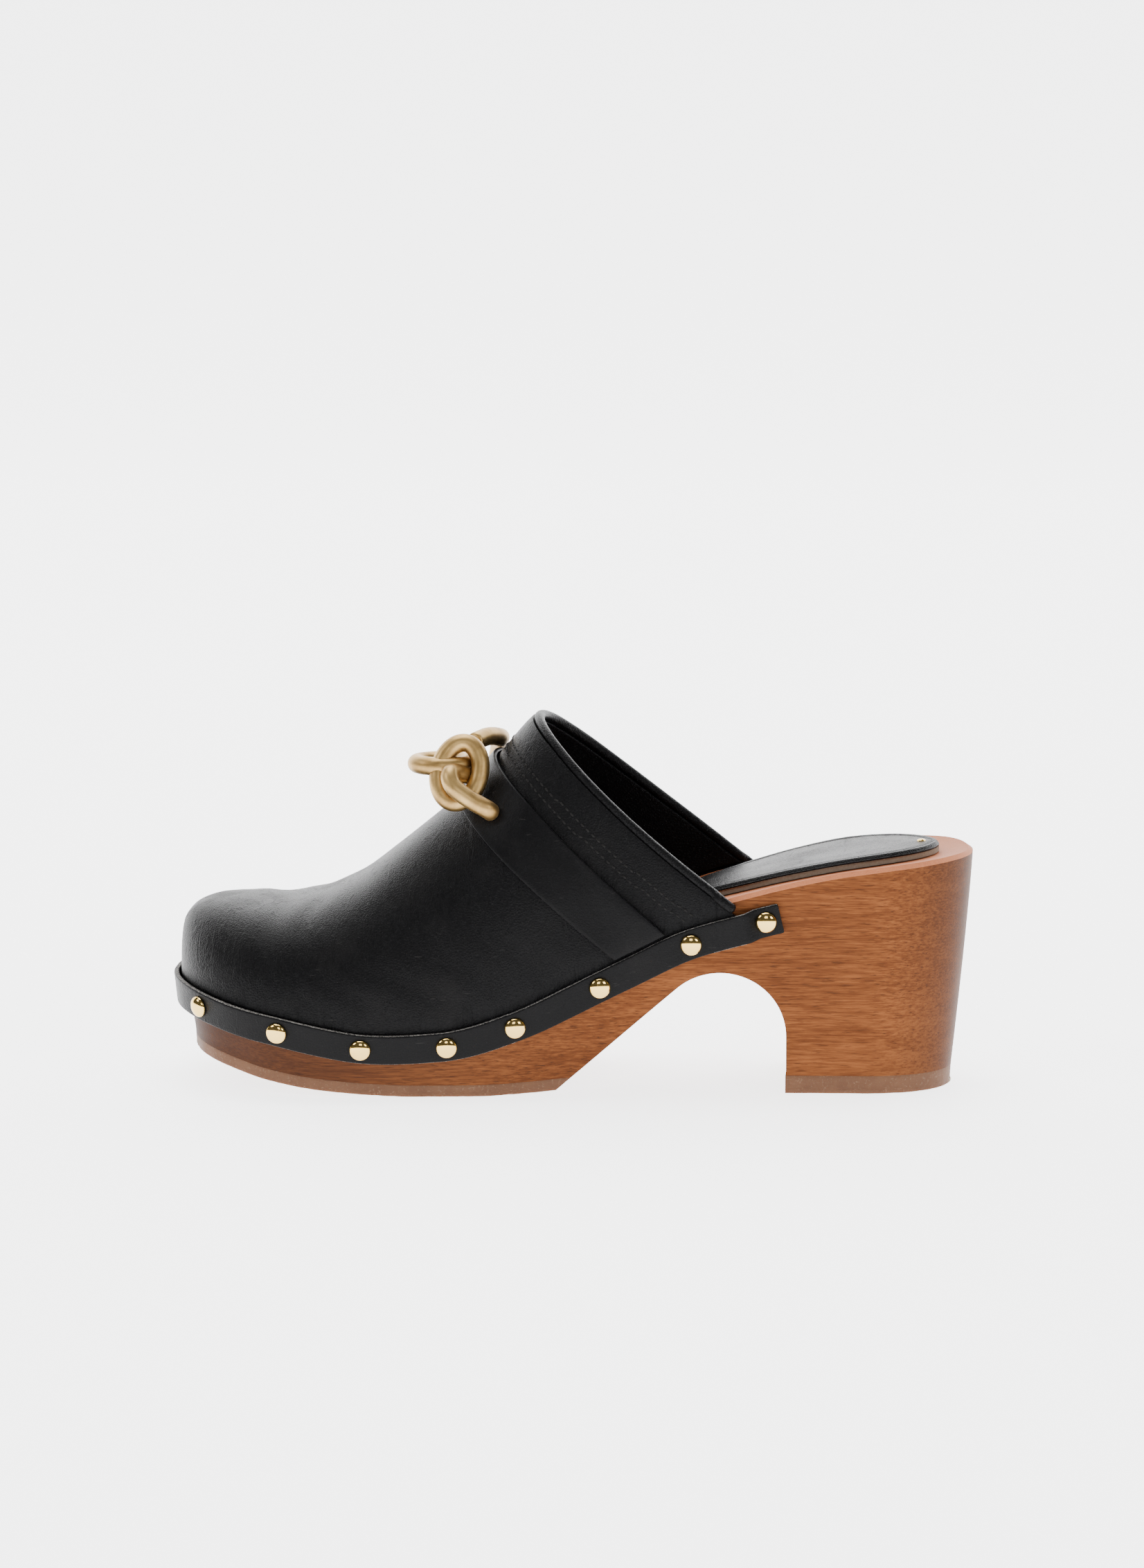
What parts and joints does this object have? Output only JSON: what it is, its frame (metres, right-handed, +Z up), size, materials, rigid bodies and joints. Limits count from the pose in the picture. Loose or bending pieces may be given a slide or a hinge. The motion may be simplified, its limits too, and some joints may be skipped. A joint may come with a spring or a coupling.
{
  "type": "wooden clog",
  "caption": "Backless clog with a block-heeled wooden sole, leather upper held by a studded rand strap, and a linked ring ornament on an instep band.",
  "frame": {"origin": "middle of the heel top piece's ground face", "axes": "+Z up, +X towards the heel, -X towards the toe, -Y lateral side of this left clog"},
  "size_m": [0.2405, 0.0972, 0.1111],
  "materials": {
    "wood": "stained and oiled, satin",
    "rubber": "translucent crepe rubber, matt",
    "black_leather": "smooth, soft sheen",
    "lining_leather": "matt lining leather",
    "filler": "pressed fibre and foam",
    "gold": "brushed satin gold plating",
    "brass": "polished",
    "steel": "plain"
  },
  "bodies": {
    "root": {"wooden_sole": "wood", "forefoot_outsole": "rubber", "heel_top_piece": "rubber", "sock_foam": "filler", "heel_sock": "black_leather", "sock_nail": "brass", "vamp_upper": "black_leather", "toe_puff": "filler", "vamp_lining": "lining_leather", "collar_facing": "black_leather", "instep_band": "black_leather", "collar_binding": "black_leather", "rand_strap": "black_leather", "ring_link": "gold", "cross_link": "gold", "near_anchor_link": "gold", "far_anchor_link": "gold", "near_anchor_washer": "steel", "near_anchor_screw": "steel", "far_anchor_washer": "steel", "far_anchor_screw": "steel", "rand_stud_lateral_1": "brass", "rand_stud_lateral_2": "brass", "rand_stud_lateral_3": "brass", "rand_stud_lateral_4": "brass", "rand_stud_lateral_5": "brass", "rand_stud_lateral_6": "brass", "rand_stud_lateral_7": "brass", "rand_stud_lateral_8": "brass", "rand_stud_medial_1": "brass", "rand_stud_medial_2": "brass", "rand_stud_medial_3": "brass", "rand_stud_medial_4": "brass", "rand_stud_medial_5": "brass", "rand_stud_medial_6": "brass", "rand_stud_medial_7": "brass", "rand_stud_medial_8": "brass"}
  },
  "joints": []
}
